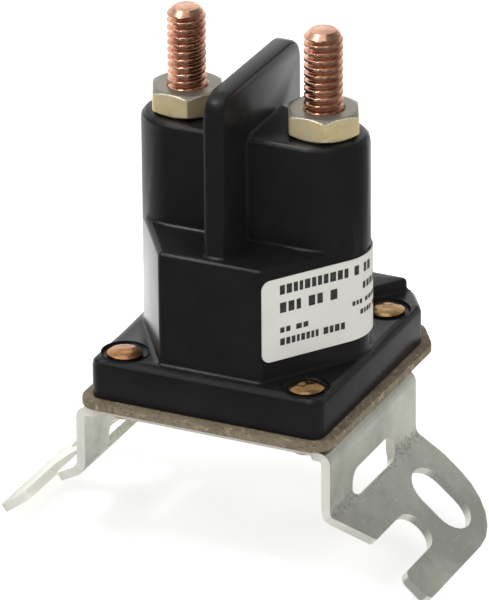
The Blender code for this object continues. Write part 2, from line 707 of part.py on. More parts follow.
def rivet(name):
    """Domed head in the flange's recess, shank, and clinched end under the plate."""
    head = RIVET_HEAD_DIAMETER / 2
    rim = RIVET_HEAD_HEIGHT / 4
    seat = FLANGE_HEIGHT - RIVET_RECESS_DEPTH + SEAT_GAP
    dome = RIVET_HEAD_HEIGHT - rim
    ball = (head * head + dome * dome) / (2 * dome)
    spread = math.asin(head / ball)
    angles = [spread * step / 5 for step in range(6)]
    profile = [(ball * math.sin(angle), seat + rim + dome - ball + ball * math.cos(angle)) for angle in angles]
    shank = RIVET_SHANK_DIAMETER / 2
    clinch = RIVET_CLINCH_DIAMETER / 2
    under = PLATE_BOTTOM - SEAT_GAP
    profile += [
        (head, seat), (shank, seat), (shank, under), (clinch, under),
        (clinch, under - RIVET_CLINCH_HEIGHT / 2), (shank, under - RIVET_CLINCH_HEIGHT),
        (0.0, under - RIVET_CLINCH_HEIGHT)]
    return turned(name, profile, steps=20)


def stud(name):
    """Contact bolt: flat head in the chamber, plain shank to the thread's outer diameter, and tip."""
    radius = STUD_DIAMETER / 2
    head = STUD_HEAD_DIAMETER / 2
    top = TOWER_HEIGHT + SEAT_GAP + NUT_HEIGHT + STUD_ABOVE_NUT
    profile = [
        (0.0, top), (radius - STUD_TIP_CHAMFER, top), (radius, top - STUD_TIP_CHAMFER),
        (radius, HEAD_BOTTOM + STUD_HEAD_HEIGHT), (head, HEAD_BOTTOM + STUD_HEAD_HEIGHT),
        (head, HEAD_BOTTOM), (0.0, HEAD_BOTTOM)]
    return turned(name, profile, steps=24)


def jam_nut(name):
    """Hexagon with its corners turned off at both faces, standing on the tower's top."""
    bottom = TOWER_HEIGHT + SEAT_GAP
    top = bottom + NUT_HEIGHT
    corner = NUT_ACROSS_FLATS / math.sqrt(3)
    hexagon = [(corner * math.cos(NUT_TURN + math.pi / 3 * index), corner * math.sin(NUT_TURN + math.pi / 3 * index))
               for index in range(6)]
    nut = prism(name, [hexagon], bottom, top)
    face = NUT_ACROSS_FLATS / 2 * 0.97
    wide = corner + SEAT_GAP
    drop = (wide - face) * math.tan(NUT_CHAMFER)
    blank = turned("chamfers", [
        (0.0, top), (face, top), (wide, top - drop), (wide, bottom + drop), (face, bottom), (0.0, bottom)],
        steps=36)
    combine(nut, blank, "INTERSECT")
    return cut(nut, rod("nut_bore", STUD_DIAMETER + 2 * SEAT_GAP, bottom - NUT_HEIGHT, top + NUT_HEIGHT))


def label():
    """Rounded blank wrapped over the front right chamfer, round the end and onto the back chamfer."""
    chamfer = math.sqrt(CHAMFER_RUN ** 2 - TOWER_RADIUS ** 2)
    turn = math.pi - 2 * CHAMFER_LEAN
    moves = [(chamfer, 0.0), (turn * TOWER_RADIUS, turn), (chamfer, 0.0)]
    path = Path((BODY_FACE_HALF_WIDTH, -BODY_HALF_DEPTH), CHAMFER_LEAN, moves)
    blank = rectangle(LABEL_FROM_EDGE, LABEL_FROM_EDGE + LABEL_LENGTH, LABEL_BOTTOM,
                      LABEL_BOTTOM + LABEL_HEIGHT, LABEL_CORNER)
    sheet = prism("label", [blank], -LABEL_GAP - LABEL_THICKNESS, -LABEL_GAP)
    slice_across(sheet, path.stations)
    for vertex in sheet.data.vertices:
        point, normal = path.at(vertex.co.x)
        placed = point + normal * vertex.co.z
        vertex.co = (placed.x, placed.y, vertex.co.y)
    weld(sheet.data)
    return sheet


def blade_terminal(name):
    """Push-on blade with a pierced, pointed tip, on a thicker root with a tab turned in under the flange."""
    half = BLADE_WIDTH / 2
    tip = PAD_TOP + BLADE_ABOVE_PAD
    step = PAD_TOP + ROOT_ABOVE_PAD
    front = BLADE_BACK + (BLADE_THICKNESS - ROOT_THICKNESS) / 2
    blank = [(-half, step - BLADE_THICKNESS), (half, step - BLADE_THICKNESS), (half, tip - BLADE_TIP),
             (half - BLADE_TIP, tip), (BLADE_TIP - half, tip), (-half, tip - BLADE_TIP)]
    eye = circle(0.0, tip - (BLADE_ABOVE_PAD - ROOT_ABOVE_PAD) / 2, BLADE_HOLE_DIAMETER / 2, 16)
    blade = prism(name, [blank, eye], BLADE_BACK, BLADE_BACK + BLADE_THICKNESS)
    blade.data.transform(Matrix(((1, 0, 0, 0), (0, 0, 1, 0), (0, 1, 0, 0), (0, 0, 0, 1))))
    weld(blade.data)
    join(blade, prism("root", [rectangle(-half, half, front, front + ROOT_THICKNESS)], 0.0, step))
    tab_end = BODY_HALF_DEPTH - WALL - FRAME_CLEARANCE
    tab = rectangle(-half, half, tab_end, front + ROOT_THICKNESS / 2)
    return join(blade, prism("tab", [tab], 0.0, ROOT_THICKNESS))


def frame_cup():
    """Deep steel cup over the coil, open to the bracket's plate, pierced for the pole's neck."""
    outer = FRAME_DIAMETER / 2
    inner = outer - FRAME_WALL
    eye = POLE_NECK_DIAMETER / 2 + SEAT_GAP
    bend = FRAME_WALL
    profile = [
        (eye, FRAME_TOP), (outer - bend, FRAME_TOP), (outer - bend * 0.3, FRAME_TOP - bend * 0.3),
        (outer, FRAME_TOP - bend), (outer, FRAME_BOTTOM), (inner, FRAME_BOTTOM),
        (inner, FRAME_TOP - FRAME_WALL), (eye, FRAME_TOP - FRAME_WALL)]
    return turned("coil_frame", profile, closed=True, steps=36)


def bobbin():
    """Spool of the coil."""
    bore = BOBBIN_BORE / 2
    tube = bore + BOBBIN_WALL
    rim = FRAME_DIAMETER / 2 - FRAME_WALL - SEAT_GAP
    profile = [
        (bore, BOBBIN_TOP), (rim, BOBBIN_TOP), (rim, BOBBIN_TOP - BOBBIN_FLANGE),
        (tube, BOBBIN_TOP - BOBBIN_FLANGE), (tube, BOBBIN_BOTTOM + BOBBIN_FLANGE),
        (rim, BOBBIN_BOTTOM + BOBBIN_FLANGE), (rim, BOBBIN_BOTTOM), (bore, BOBBIN_BOTTOM)]
    return turned("bobbin", profile, closed=True, steps=32)


def winding():
    """Wire wound between the spool's flanges, as one ring."""
    inner = BOBBIN_BORE / 2 + BOBBIN_WALL + SEAT_GAP
    outer = FRAME_DIAMETER / 2 - FRAME_WALL - SEAT_GAP - WINDING_SHORT_OF_FLANGE
    top = BOBBIN_TOP - BOBBIN_FLANGE - SEAT_GAP
    bottom = BOBBIN_BOTTOM + BOBBIN_FLANGE + SEAT_GAP
    soft = WINDING_SHORT_OF_FLANGE
    profile = [
        (inner, top), (outer - soft, top), (outer, top - soft), (outer, bottom + soft),
        (outer - soft, bottom), (inner, bottom)]
    return turned("coil_winding", profile, closed=True, steps=32)


def pole_piece():
    """Fixed pole in the top of the spool, riveted through the frame's top, bored for the stem."""
    bore = STEM_BORE / 2
    body = PLUNGER_DIAMETER / 2
    neck = POLE_NECK_DIAMETER / 2
    shoulder = FRAME_TOP - FRAME_WALL - SEAT_GAP
    over = FRAME_TOP + SEAT_GAP
    profile = [
        (bore, over + POLE_HEAD_HEIGHT), (body - POLE_HEAD_HEIGHT / 2, over + POLE_HEAD_HEIGHT),
        (body, over + POLE_HEAD_HEIGHT / 2), (body, over), (neck, over), (neck, shoulder),
        (body, shoulder), (body, POLE_BOTTOM), (bore, POLE_BOTTOM)]
    return turned("pole_piece", profile, closed=True, steps=28)


def plunger():
    """Moving core: spring pocket in its top, and a bore for the stem's lower end."""
    body = PLUNGER_DIAMETER / 2
    pocket = RETURN_DIAMETER / 2 + SEAT_GAP
    bore = STEM_DIAMETER / 2 + SEAT_GAP
    bottom = POCKET_FLOOR - STEM_DEPTH - SEAT_GAP
    lead = STEM_COLLAR_HEIGHT / 2
    profile = [
        (0.0, bottom), (bore, bottom), (bore, POCKET_FLOOR), (pocket, POCKET_FLOOR), (pocket, PLUNGER_TOP),
        (body - lead, PLUNGER_TOP), (body, PLUNGER_TOP - lead), (body, PLUNGER_BOTTOM + lead),
        (body - lead, PLUNGER_BOTTOM), (0.0, PLUNGER_BOTTOM)]
    return turned("plunger", profile, steps=28)


def plunger_stem():
    """Rod from the plunger through the pole, with the collar that the contact spring stands on."""
    radius = STEM_DIAMETER / 2
    collar = STEM_COLLAR_DIAMETER / 2
    bottom = POCKET_FLOOR - STEM_DEPTH
    lead = STEM_DIAMETER / 10
    profile = [
        (0.0, STEM_TOP), (radius - lead, STEM_TOP), (radius, STEM_TOP - lead), (radius, COLLAR_TOP),
        (collar, COLLAR_TOP), (collar, COLLAR_BOTTOM), (radius, COLLAR_BOTTOM), (radius, bottom + lead),
        (radius - lead, bottom), (0.0, bottom)]
    return turned("plunger_stem", profile, steps=20)


def contact_bar():
    """Copper bar with round ends that bridges the two stud heads."""
    end = CONTACT_WIDTH / 2
    outline = stadium(HALF_PITCH + CONTACT_REACH - end, end)
    hole = circle(0.0, 0.0, STEM_BORE / 2)
    return prism("contact_bar", [outline, hole], CONTACT_BOTTOM, CONTACT_TOP)


def retaining_clip():
    """Open ring snapped on the stem over the upper insulator."""
    inner = STEM_DIAMETER / 2 + SEAT_GAP
    gap = math.radians(40)
    outline = arc(0.0, 0.0, CLIP_DIAMETER / 2, gap, 2 * math.pi - gap)
    outline += arc(0.0, 0.0, inner, 2 * math.pi - gap, gap)
    return prism("retaining_clip", [outline], CLIP_BOTTOM, CLIP_BOTTOM + CLIP_THICKNESS)


def empty(name, location, parent=None):
    """An empty that carries a group of parts."""
    carrier = bpy.data.objects.new(name, None)
    carrier.location = location
    carrier.parent = parent
    bpy.data.collections[COLLECTION].objects.link(carrier)
    return carrier


def build():
    clear_scene()
    phenolic = material("black_phenolic", (0.012, 0.012, 0.013), 0.38)
    fibre = material("gasket_fibre", (0.20, 0.14, 0.08), 0.85)
    zinc = material("zinc_plated_sheet", (0.42, 0.43, 0.38), 0.36, 1.0)
    yellow_zinc = material("yellow_zinc_nut", (0.60, 0.48, 0.24), 0.34, 1.0)
    copper = material("copper_stud", (0.55, 0.20, 0.11), 0.30, 1.0)
    brass = material("brass_rivet", (0.50, 0.28, 0.12), 0.32, 1.0)
    paper = material("white_label", (0.72, 0.72, 0.68), 0.55)
    tin = material("tinned_blade", (0.60, 0.58, 0.52), 0.35, 1.0)
    steel = material("plain_steel", (0.38, 0.38, 0.39), 0.42, 1.0)
    nylon = material("natural_nylon", (0.62, 0.58, 0.46), 0.50)
    enamel = material("enamelled_wire", (0.38, 0.12, 0.04), 0.35, 0.6)
    spring_steel = material("spring_steel", (0.30, 0.30, 0.31), 0.35, 1.0)
    laminate = material("brown_laminate", (0.16, 0.07, 0.03), 0.60)

    base = empty("flange_plane", (0.0, -DEPTH_MIDDLE, FLANGE_PLANE))
    axis = empty("plunger_axis", (0.0, 0.0, 0.0), base)
    finish(housing(), phenolic, base)
    finish(gasket(), fibre, base)
    finish(bracket(), zinc, base)
    finish(label(), paper, base)
    for place, x, y in rivet_places():
        fixed = finish(rivet("rivet_" + place), brass, base)
        fixed.location = (x, y, 0.0)
    for name, side in (("left", -1), ("right", 1)):
        finish(stud("stud_" + name), copper, base).location.x = side * HALF_PITCH
        finish(jam_nut("nut_" + name), yellow_zinc, base).location.x = side * HALF_PITCH
        finish(blade_terminal("coil_terminal_" + name), tin, base).location.x = side * BLADE_OFFSET
    finish(frame_cup(), steel, base)
    finish(bobbin(), nylon, base)
    finish(winding(), enamel, base)
    finish(pole_piece(), steel, base)
    finish(helix("return_spring", RETURN_DIAMETER, RETURN_WIRE, RETURN_TURNS,
                 POCKET_FLOOR + SEAT_GAP, POLE_BOTTOM - SEAT_GAP), spring_steel, base)
    finish(plunger(), steel, axis)
    finish(plunger_stem(), steel, axis)
    finish(helix("contact_spring", CONTACT_SPRING_DIAMETER, CONTACT_WIRE, CONTACT_SPRING_TURNS,
                 COLLAR_TOP + SEAT_GAP, LOWER_INSULATOR - SEAT_GAP), spring_steel, axis)
    for name, bottom in (("lower_insulator", LOWER_INSULATOR), ("upper_insulator", UPPER_INSULATOR)):
        ring = washer(name, INSULATOR_DIAMETER, STEM_BORE, bottom, bottom + INSULATOR_THICKNESS)
        finish(ring, laminate, axis)
    finish(contact_bar(), copper, axis)
    finish(retaining_clip(), spring_steel, axis)
    bpy.data.collections.remove(bpy.data.collections[WORKSHOP])


build()
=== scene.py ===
"""Starter relay: the finish of every surface, threads, rivets, gasket, print, light and camera.

Metres, +Z up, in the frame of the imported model. The two studs stand in a row along X, and the
label starts on the side that faces -Y.
"""

import json
import math

import bmesh
import bpy
import numpy as np
from mathutils import Matrix, Vector

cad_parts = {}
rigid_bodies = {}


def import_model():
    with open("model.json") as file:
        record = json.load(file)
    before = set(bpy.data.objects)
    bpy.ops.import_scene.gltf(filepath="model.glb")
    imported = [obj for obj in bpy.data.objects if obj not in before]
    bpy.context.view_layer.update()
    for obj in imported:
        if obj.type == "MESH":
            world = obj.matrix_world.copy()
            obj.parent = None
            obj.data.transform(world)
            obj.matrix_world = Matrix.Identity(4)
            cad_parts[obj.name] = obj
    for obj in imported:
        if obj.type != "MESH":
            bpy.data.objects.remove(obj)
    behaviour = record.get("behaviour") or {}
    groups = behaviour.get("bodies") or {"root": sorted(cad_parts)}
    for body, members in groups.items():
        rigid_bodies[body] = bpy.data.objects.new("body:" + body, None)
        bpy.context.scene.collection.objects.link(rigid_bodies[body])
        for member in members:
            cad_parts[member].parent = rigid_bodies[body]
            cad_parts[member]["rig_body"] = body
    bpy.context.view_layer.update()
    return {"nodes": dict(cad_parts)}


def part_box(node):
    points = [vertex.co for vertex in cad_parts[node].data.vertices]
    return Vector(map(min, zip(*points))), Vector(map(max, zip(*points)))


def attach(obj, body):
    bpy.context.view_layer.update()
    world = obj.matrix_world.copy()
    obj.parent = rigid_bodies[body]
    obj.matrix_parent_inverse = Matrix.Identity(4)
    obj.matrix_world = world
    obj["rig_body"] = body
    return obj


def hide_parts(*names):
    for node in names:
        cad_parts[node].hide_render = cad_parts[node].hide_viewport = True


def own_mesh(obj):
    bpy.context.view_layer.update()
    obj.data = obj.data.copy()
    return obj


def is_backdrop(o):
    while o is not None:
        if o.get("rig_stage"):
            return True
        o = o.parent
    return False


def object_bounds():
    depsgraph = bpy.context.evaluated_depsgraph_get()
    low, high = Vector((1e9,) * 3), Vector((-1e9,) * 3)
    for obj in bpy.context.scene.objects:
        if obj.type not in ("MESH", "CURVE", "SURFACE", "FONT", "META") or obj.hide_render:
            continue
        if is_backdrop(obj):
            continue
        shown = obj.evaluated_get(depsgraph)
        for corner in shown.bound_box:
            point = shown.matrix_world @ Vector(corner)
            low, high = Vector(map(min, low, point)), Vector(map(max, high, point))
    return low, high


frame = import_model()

MM = 0.001
TURN = 2 * math.pi
NODES = frame["nodes"]

# Thread 1/4-20, rolled a little under its nominal diameter
PITCH = 1.27 * MM
MAJOR_RADIUS = 3.12 * MM
MINOR_RADIUS = 2.55 * MM
THREAD_STEPS = 14        # rows of points in one pitch
TURN_STEPS = 72          # points round the stud

# Nut: width across its flats, its turn, and its corners' radius as a share of that width
NUT_FLATS = 11.11 * MM
NUT_TURN = math.radians(-65)
CORNER_SHARE = 0.5705
NUT_STEPS = 144

# Rivet
RIVET_STEPS = 64
RIVET_ROWS = 22
FIRST_SEED = 3

# Plan of the lower body, for what wraps round it
END_RADIUS = 7.5 * MM
FACE_HALF_WIDTH = 8.9 * MM
BODY_HALF_DEPTH = 17.7 * MM
HALF_PITCH = (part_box("stud_right")[0].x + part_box("stud_right")[1].x) / 2
STUD_ROW_Y = (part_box("stud_right")[0].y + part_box("stud_right")[1].y) / 2
FLANGE_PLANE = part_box("housing")[0].z
FLANGE_TOP = FLANGE_PLANE + 6.0 * MM

# Bracket: where its legs turn into the feet, and the feet's slopes
RIGHT_FOOT_ANGLE = math.radians(40)
LEFT_FOOT_ANGLE = math.radians(37)
BEND_Z = 14.3 * MM
LEG_INSIDE = 20.5 * MM
WINDOW_FOOT_Z = 20.0 * MM

# Label: length along the body, corners, and the distances of its faces and print from the body
LABEL_START = 0.1 * MM
LABEL_LENGTH = 36.0 * MM
LABEL_CORNER = 1.5 * MM
LABEL_BACK = 0.10 * MM
LABEL_FRONT = 0.30 * MM
PRINT_FRONT = 0.325 * MM


def add_object(name, data):
    """Put a mesh, lamp or camera into the scene, at the origin."""
    made = bpy.data.objects.new(name, data)
    bpy.context.scene.collection.objects.link(made)
    return made


def add_mesh(name, points, faces):
    """Object made of whole arrays of points and faces."""
    mesh = bpy.data.meshes.new(name)
    mesh.from_pydata(points.reshape(-1, 3).tolist(), [], faces)
    return add_object(name, mesh)


def dress(piece, made_of, node, smooth=40):
    """Shade the piece, give it its material, and let it stand for the node and ride on its body."""
    piece.data.shade_smooth()
    piece.data.set_sharp_from_angle(angle=math.radians(smooth))
    piece.data.materials.clear()
    piece.data.materials.append(made_of)
    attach(piece, NODES[node]["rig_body"])
    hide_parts(node)


def grid_faces(rows, columns, wrap_rows=False, wrap_columns=True, start=0):
    """Quads of a grid whose point (row, column) has the number start + row * columns + column."""
    row = np.arange(rows if wrap_rows else rows - 1)[:, None]
    column = np.arange(columns if wrap_columns else columns - 1)[None, :]
    next_row = (row + 1) % rows
    next_column = (column + 1) % columns
    quads = np.stack([row * columns + column, row * columns + next_column,
                      next_row * columns + next_column, next_row * columns + column], axis=-1)
    return (quads.reshape(-1, 4) + start).tolist()


def around(steps):
    """Equal angles round one turn, as a row."""
    return np.linspace(0.0, TURN, steps, endpoint=False)[None, :]


def turned(name, radius, height, angle, closed_section, made_of, node, smooth):
    """Surface turned about the node's upright axis.

    Its points are at the axis + radius * (cos angle, sin angle), and at the given height. A closed
    section needs no ends. Otherwise one polygon closes each end.
    """
    low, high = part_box(node)
    x = (low.x + high.x) / 2 + radius * np.cos(angle)
    y = (low.y + high.y) / 2 + radius * np.sin(angle)
    points = np.stack([x, y, height + 0.0 * angle], axis=-1)
    rows, columns = points.shape[:2]
    faces = grid_faces(rows, columns, wrap_rows=closed_section)
    if not closed_section:
        faces.append(list(range(columns))[::-1])
        faces.append([(rows - 1) * columns + column for column in range(columns)])
    dress(add_mesh(name, points, faces), made_of, node, smooth)


def stud(side, made_of):
    """Copper bolt with a rolled thread.

    The radius at an angle and height is the middle radius plus half the thread's depth times a
    wave, and never more than the tip's cone. The wave is a cosine of the phase, height / pitch -
    angle / turn, with cut crests and roots and a little of its third harmonic.
    """
    node = "stud_" + side
    low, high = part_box(node)
    nut_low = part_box("nut_" + side)[0].z
    head_radius = (high.x - low.x) / 2
    head_top = low.z + 2.4 * MM
    under_edge, top_edge = 0.3 * MM, 0.2 * MM
    tip = 1.1 * MM
    steepness, crest_share, third = 1.35, 0.12, 0.08
    plain = (                # height and radius, from the head's underside to the thread
        (low.z, head_radius - under_edge), (low.z + under_edge, head_radius),
        (head_top - top_edge, head_radius), (head_top, head_radius - top_edge),
        (head_top, MAJOR_RADIUS), (nut_low - 0.4 * MM, MAJOR_RADIUS))
    plain_height, plain_radius = np.array(plain).T
    rows = int((high.z - nut_low) / PITCH * THREAD_STEPS)
    threaded = np.linspace(nut_low, high.z - 0.05 * MM, rows)
    angle = around(TURN_STEPS)
    height = np.concatenate([plain_height, threaded, [high.z]])[:, None]
    phase = TURN * (height / PITCH - angle / TURN)
    wave = np.clip(steepness * np.cos(phase) + crest_share, -1.0, 1.0)
    wave = wave * (1.0 - third * np.cos(3 * phase))
    radius = (MAJOR_RADIUS + MINOR_RADIUS) / 2 + (MAJOR_RADIUS - MINOR_RADIUS) / 2 * wave
    cone = MAJOR_RADIUS + 0.05 * MM - tip + (high.z - height)
    radius = np.minimum(radius, cone)
    radius[:len(plain)] = plain_radius[:, None]
    radius[-1] = radius[-2] - 0.10 * MM
    turned("threaded_" + node, radius, height, angle, False, made_of, node, 60)


def nut(side, made_of):
    """Jam nut: a soft minimum of the hexagon's and the chamfer cone's radius.

    The hexagon's radius is half its flats over the cosine of the angle from the nearest flat, and
    no more than its corners' radius. The soft minimum is minus the logarithm of the sum of
    exp(-sharpness * radius), over the sharpness.
    """
    node = "nut_" + side
    low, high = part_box(node)
    angle = around(NUT_STEPS)
    from_flat = (angle - NUT_TURN) % (math.pi / 3) - math.pi / 6
    hexagon = np.minimum(NUT_FLATS / 2 / np.cos(from_flat), NUT_FLATS * CORNER_SHARE)
    face_share = 0.965
    face = NUT_FLATS / 2 * face_share
    chamfer_slope = math.tan(math.radians(28))
    rise = np.array([0.0, 0.06, 0.14, 0.24, 0.36, 0.5, 0.7, 0.95, 1.3]) * MM
    side_height = np.concatenate([low.z + rise, high.z - rise[::-1]])[:, None]
    depth = np.minimum(side_height - low.z, high.z - side_height)
    cone = face + depth / chamfer_slope
    sharpness = 10.0 / MM
    both = np.exp(-sharpness * (hexagon - face)) + np.exp(-sharpness * (cone - face))
    outer = -np.log(both) / sharpness + face
    easing = 0.05 * MM
    outer[0] = outer[-1] = face - easing
    rim = face - 0.5 * MM
    mouth = 3.55 * MM
    bore = 3.2 * MM
    lip = 0.35 * MM
    inner = (                # radius and height, from the top's rim down the bore to the bottom's
        (rim, high.z), (mouth + 0.06 * MM, high.z), (mouth, high.z - easing),
        (bore, high.z - lip), (bore, low.z + lip), (mouth, low.z), (rim, low.z))
    inner_radius, inner_height = np.array(inner).T[:, :, None]
    radius = np.concatenate([outer, inner_radius + 0.0 * angle])
    height = np.concatenate([side_height, inner_height])
    turned("jam_" + node, radius, height, angle, True, made_of, node, 24)


def rivet(place, made_of, seed):
    """Rivet with a low crown that falls with the cube of the share of its radius.

    The crown leans a little to one side and has a two-sided ripple near its middle. The radius
    wobbles by up to two hundredths.
    """
    node = "rivet_" + place
    low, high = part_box(node)
    head_share = 0.95
    head = (high.x - low.x) / 2 * head_share
    seat = high.z - 1.5 * MM
    crown_top = high.z - 0.55 * MM
    rim = 0.38 * MM
    angle = around(RIVET_STEPS)
    share = np.linspace(0.04, 1.0, RIVET_ROWS)[:, None]
    dome = seat + rim + (crown_top - seat - rim) * (1.0 - share ** 3.0)
    draws = np.random.default_rng(seed)
    lean = draws.uniform(0.0, TURN)
    tilt = 0.05 * MM * np.cos(angle - lean) * share * (1.0 - share)
    ripple_place, ripple_width = 0.3, 0.16
    ripple = np.exp(-((share - ripple_place) / ripple_width) ** 2) * np.cos(2 * (angle - lean))
    crown = dome + tilt + 0.10 * MM * ripple * (1.0 - share)
    wobble = 1.0 + 0.012 * np.cos(2 * angle + lean) + 0.008 * np.cos(5 * angle - lean)
    shank = 1.6 * MM
    clinch = 2.5 * MM
    clinch_top = low.z + 1.0 * MM
    plain = (                # radius and height, from the head's edge down to the clinched end
        (head, seat + 0.1 * MM), (head - 0.15 * MM, seat), (shank, seat), (shank, clinch_top),
        (clinch, clinch_top), (clinch, low.z + 0.4 * MM), (clinch * 0.8, low.z + 0.08 * MM),
        (0.4 * MM, low.z))
    plain_radius, plain_height = np.array(plain).T[:, :, None]
    radius = np.concatenate([head * share * wobble, plain_radius + 0.0 * angle])
    height = np.concatenate([crown, plain_height + 0.0 * angle])
    turned("domed_" + node, radius, height, angle, False, made_of, node, 50)


def copy_of(node, name):
    """A merged copy of a CAD node, with the flat triangles joined into the faces that they make."""
    mesh = NODES[node].data.copy()
    mesh.name = name
    piece = add_object(name, mesh)
    shape = bmesh.new()
    shape.from_mesh(mesh)
    bmesh.ops.remove_doubles(shape, verts=shape.verts, dist=0.002 * MM)
    bmesh.ops.dissolve_limit(shape, angle_limit=math.radians(0.4),
                             verts=shape.verts, edges=shape.edges)
    shape.to_mesh(mesh)
    shape.free()
    return piece


def fill_corners(piece, radius, above):
    """Rounded fillets in the inside corners above a height, each of three strips."""
    sharpest = math.radians(25)
    shape = bmesh.new()
    shape.from_mesh(piece.data)
    corners = [edge for edge in shape.edges
               if len(edge.link_faces) == 2 and not edge.is_convex
               and edge.calc_face_angle() > sharpest
               and min(corner.co.z for corner in edge.verts) > above]
    bmesh.ops.bevel(shape, geom=corners, offset=radius, offset_type="OFFSET", segments=3,
                    profile=0.5, affect="EDGES", clamp_overlap=False)
    shape.to_mesh(piece.data)
    shape.free()


def softened(node, name, made_of, width, segments, limit, fillet=0.0):
    """The node's own form with its edges eased by a narrow bevel, where they turn past a limit."""
    piece = copy_of(node, name)
    if fillet:
        fill_corners(piece, fillet, FLANGE_TOP)
    dress(piece, made_of, node)
    bevel = piece.modifiers.new("eased_edges", "BEVEL")
    bevel.limit_method = "ANGLE"
    bevel.angle_limit = math.radians(limit)
    bevel.width = width
    bevel.segments = segments
    bevel.harden_normals = True
    return piece


def fill(tree, node, values):
    """Link each value that is a socket, and set the others, by the input's name or number."""
    for key, value in values.items():
        if isinstance(value, bpy.types.NodeSocket):
            tree.links.new(value, node.inputs[key])
        else:
            node.inputs[key].default_value = value


def add_node(tree, kind, values, operation=None):
    """Add a shader node and fill its inputs."""
    made = tree.nodes.new("ShaderNode" + kind)
    if operation:
        made.operation = operation
    fill(tree, made, values)
    return made


def opaque(colour):
    """A colour of three shares gets a full fourth; a number or socket stays as it is."""
    return (*colour, 1.0) if isinstance(colour, tuple) else colour


class Recipe:
    """A material's nodes, added one at a time."""

    def __init__(self, name):
        self.material = bpy.data.materials.new(name)
        self.material.use_nodes = True
        self.tree = self.material.node_tree
        self.shader = self.tree.nodes["Principled BSDF"]
        self.place = self.node("TexCoord").outputs["Object"]

    def node(self, kind, **values):
        """Add a node of a kind and fill its inputs by their names."""
        return add_node(self.tree, kind, values)

    def stretched(self, scale, turn=(0.0, 0.0, 0.0)):
        """The place, turned and scaled, for patterns that run one way."""
        return self.node("Mapping", Vector=self.place, Scale=scale, Rotation=turn).outputs[0]

    def noise(self, scale, detail=3.0, roughness=0.5, vector=None):
        """Cloudy noise from 0 to 1, with finer layers by its detail."""
        made = self.node("TexNoise", Vector=vector or self.place, Scale=scale, Detail=detail,
                         Roughness=roughness)
        return made.outputs["Fac"]

    def spots(self, scale):
        """Distance from the nearest of many scattered points."""
        return self.node("TexVoronoi", Vector=self.place, Scale=scale).outputs["Distance"]

    def along(self, axis):
        """The place's coordinate along an axis."""
        return self.node("SeparateXYZ", Vector=self.place).outputs[axis]

    def facing(self, axis):
        """How far the surface faces along an axis, from -1 to 1."""
        normal = self.node("NewGeometry").outputs["Normal"]
        return self.node("SeparateXYZ", Vector=normal).outputs[axis]

    def ramp(self, factor, *stops):
        """Colour ramp of (place, colour) stops; a number stands for a grey."""
        made = self.node("ValToRGB", Fac=factor)
        elements = made.color_ramp.elements
        while len(elements) < len(stops):
            elements.new(0.5)
        for element, (place, colour) in zip(elements, stops):
            element.position = place
            element.color = opaque((colour,) * 3 if isinstance(colour, float) else colour)
        return made.outputs["Color"]

    def span(self, factor, low, high, start=0.0, end=1.0):
        """Number that goes from low to high while the factor goes from start to end."""
        return add_node(self.tree, "MapRange",
                        {0: factor, 1: start, 2: end, 3: low, 4: high}).outputs[0]

    def mix(self, factor, first, second, blend="MIX"):
        """The first colour, with the second mixed into it or blended with it by the factor."""
        made = self.tree.nodes.new("ShaderNodeMix")
        made.data_type = "RGBA"
        made.blend_type = blend
        fill(self.tree, made, {0: factor, 6: opaque(first), 7: opaque(second)})
        return made.outputs[2]

    def sum(self, *terms):
        """Weighted sum of (socket, weight) terms."""
        total = None
        for socket, weight in terms:
            scaled = add_node(self.tree, "Math", {0: socket, 1: weight}, "MULTIPLY").outputs[0]
            total = scaled if total is None else add_node(
                self.tree, "Math", {0: total, 1: scaled}, "ADD").outputs[0]
        return total

    def bump(self, height, distance, strength):
        """Tilt the shading by the slope of a height."""
        made = self.node("Bump", Height=height, Distance=distance, Strength=strength)
        self.tree.links.new(made.outputs[0], self.shader.inputs["Normal"])

    def put(self, **values):
        """Fill the shader's own inputs; an underscore stands for a space."""
        fill(self.tree, self.shader,
             {key.replace("_", " "): opaque(value) for key, value in values.items()})
        return self.material


def black_phenolic():
    """Moulded black thermoset: faint mottling, orange peel and a few pale specks of dust."""
    recipe = Recipe("black_phenolic")
    cloud = recipe.noise(140.0, 4.0)
    peel = recipe.noise(2600.0, 2.0)
    flow = recipe.noise(60.0, 3.0, vector=recipe.stretched((1.0, 1.0, 0.35)))
    speck = recipe.ramp(recipe.spots(420.0), (0.035, 1.0), (0.06, 0.0))
    chance = recipe.ramp(recipe.noise(33.0, 1.0), (0.62, 0.0), (0.66, 1.0))
    dust = recipe.mix(1.0, speck, chance, "MULTIPLY")
    colour = recipe.ramp(cloud, (0.3, (0.0070, 0.0070, 0.0076)), (0.7, (0.0108, 0.0108, 0.0114)))
    colour = recipe.mix(dust, colour, (0.16, 0.16, 0.17))
    recipe.bump(recipe.sum((peel, 0.6), (flow, 1.0)), 0.06 * MM, 0.5)
    return recipe.put(Base_Color=colour, Roughness=recipe.span(flow, 0.22, 0.35, 0.3, 0.7),
                      Specular_IOR_Level=0.27)


def gasket_fibre():
    """Pressed brown fibre: warm brown with dark and pale flecks of two sizes."""
    recipe = Recipe("gasket_fibre")
    grain = recipe.noise(1900.0, 4.0, 0.7)
    patch = recipe.noise(260.0, 3.0)
    flecks = recipe.ramp(recipe.spots(1500.0), (0.10, 1.0), (0.34, 0.0))
    pale = recipe.ramp(recipe.noise(900.0, 2.0), (0.58, 0.0), (0.68, 1.0))
    colour = recipe.ramp(patch, (0.25, (0.175, 0.140, 0.093)), (0.75, (0.282, 0.237, 0.160)))
    colour = recipe.mix(recipe.span(flecks, 0.0, 0.75), colour, (0.055, 0.035, 0.022))
    colour = recipe.mix(recipe.span(pale, 0.0, 0.75), colour, (0.46, 0.37, 0.25))
    recipe.bump(recipe.sum((grain, 1.0), (patch, 0.5)), 0.2 * MM, 0.7)
    return recipe.put(Base_Color=colour, Roughness=0.78, Specular_IOR_Level=0.4)


